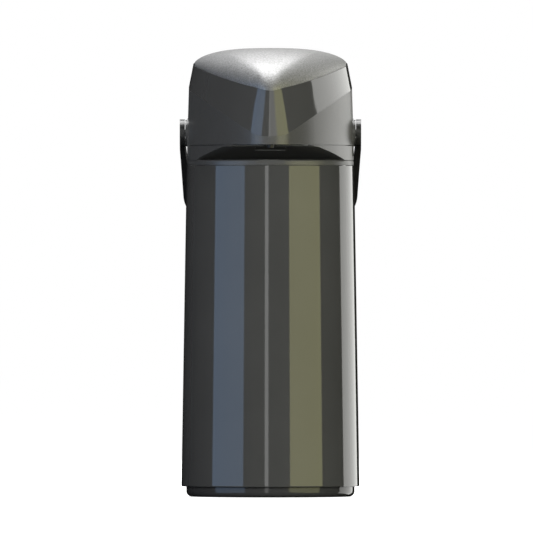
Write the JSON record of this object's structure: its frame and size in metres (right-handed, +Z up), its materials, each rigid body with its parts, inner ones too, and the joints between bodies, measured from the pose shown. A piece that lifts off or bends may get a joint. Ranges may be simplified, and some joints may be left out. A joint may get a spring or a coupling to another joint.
{
  "type": "thermal coffee airpot",
  "caption": "Free-standing insulated pump airpot: tapered glossy jacket over a glass vacuum refill, hinged beaked head with a press pad and nozzle, and a swinging carry bail.",
  "frame": {"origin": "centre of the flat underside that it stands on, on the axis of the round body", "axes": "+Z up along the body's axis, -Y towards the front, where the beak and nozzle are, +X to the right when seen from the front"},
  "size_m": [0.1472, 0.2019, 0.3644],
  "materials": {
    "jacket_gloss": "gloss graphite",
    "shell_satin": "satin graphite, fine moulded grain",
    "pad_grain": "silvered graphite, fine moulded grain",
    "base_gloss": "gloss black",
    "bail_plastic": "satin black",
    "inner_plastic": "plain moulded black",
    "food_plastic": "natural food-grade",
    "rubber_black": "matt",
    "silicone": "translucent white, matt",
    "silvered_glass": "silvered",
    "spring_steel": "drawn wire",
    "screw_steel": "plated"
  },
  "bodies": {
    "pot": {"base_cap": "base_gloss", "non_slip_pad": "rubber_black", "base_seal": "rubber_black", "thread_ring": "inner_plastic", "jacket": "jacket_gloss", "refill_outer_flask": "silvered_glass", "refill_inner_flask": "silvered_glass", "refill_spacers": "silicone", "flask_cushion": "rubber_black", "neck_gasket": "silicone", "dip_tube": "food_plastic", "tube_foot": "food_plastic", "tube_flange": "food_plastic", "spill_ball": "spring_steel", "shoulder_collar": "shell_satin", "bail_pins": "bail_plastic", "hinge_pin": "screw_steel"},
    "lid": {"head_shell": "shell_satin", "head_sash": "jacket_gloss", "rear_bridge": "pad_grain", "head_base_plate": "inner_plastic", "plate_screws": "screw_steel", "stopper_gasket": "silicone", "duct_seal": "silicone", "delivery_tube": "food_plastic", "nozzle": "inner_plastic", "stopper_housing": "inner_plastic", "outlet_valve": "silicone", "bellows": "silicone", "bellows_clamp": "inner_plastic", "pump_spring": "spring_steel"},
    "pad": {"press_pad": "pad_grain", "bellows_plate": "inner_plastic", "pad_screws": "screw_steel", "inlet_valve": "silicone"},
    "bail": {"bail_handle": "bail_plastic"},
    "latch": {"latch_button": "inner_plastic"},
    "lock": {"lock_slider": "pad_grain"}
  },
  "joints": [
    {"name": "lid_open", "type": "hinge", "parent": "pot", "child": "lid", "pos_m": [0, 0.073, 0.2848], "axis": [-1, 0, 0], "range_deg": [0, 80]},
    {"name": "pump_press", "type": "slide", "parent": "lid", "child": "pad", "axis": [0, 0, -1], "range_m": [0, 0.02], "stiffness_N_per_m": 400, "springref_m": -0.02, "deforming": ["bellows", "pump_spring"]},
    {"name": "bail_swing", "type": "hinge", "parent": "pot", "child": "bail", "pos_m": [0, 0, 0.2949], "axis": [1, 0, 0], "range_deg": [0, 131.5]},
    {"name": "lock_slide", "type": "slide", "parent": "lid", "child": "lock", "axis": [0, 1, 0], "range_m": [0, 0.005]},
    {"name": "latch_press", "type": "slide", "parent": "pot", "child": "latch", "axis": [0, 1, 0], "range_m": [0, 0.003], "stiffness_N_per_m": 300, "springref_m": -0.003}
  ]
}
